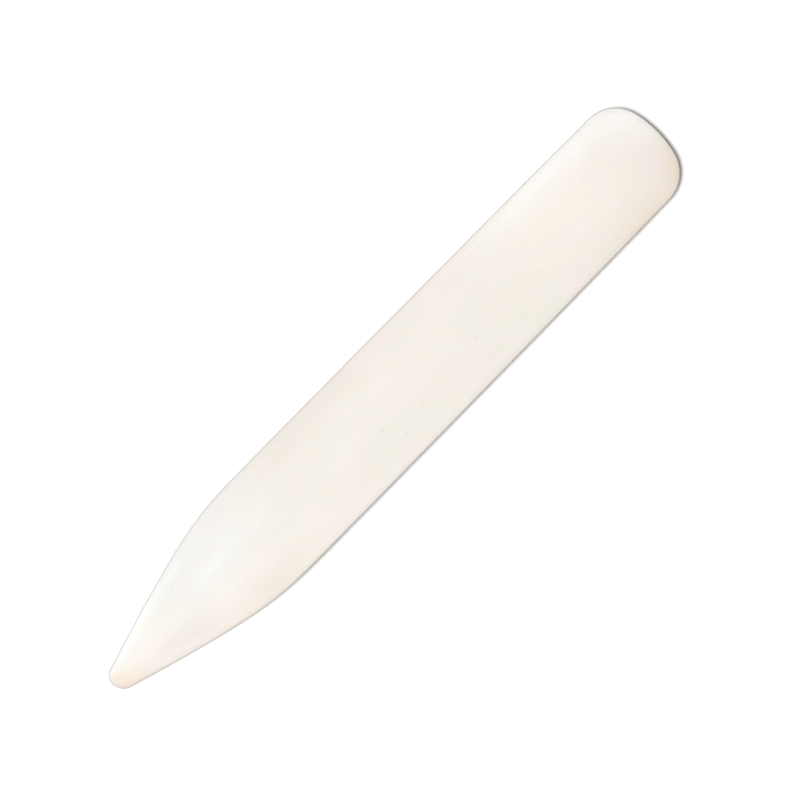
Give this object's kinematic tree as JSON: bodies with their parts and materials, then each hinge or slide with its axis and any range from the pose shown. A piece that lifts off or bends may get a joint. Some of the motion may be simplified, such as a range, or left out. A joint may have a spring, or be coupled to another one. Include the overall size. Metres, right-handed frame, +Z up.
{
  "type": "bone folder",
  "caption": "Flat ivory-white strip with a long pointed end, a broad rounded butt and smooth rounded edges, for creasing and scoring paper.",
  "frame": {"origin": "middle of the bounding box's bottom face, which lies in the flat underside", "axes": "+X along the length towards the pointed end, +Y across the width, +Z up, out of the crowned top"},
  "size_m": [0.1524, 0.0232, 0.0034],
  "materials": {
    "bone": "satin"
  },
  "bodies": {
    "root": {"bone_folder": "bone"}
  },
  "joints": []
}
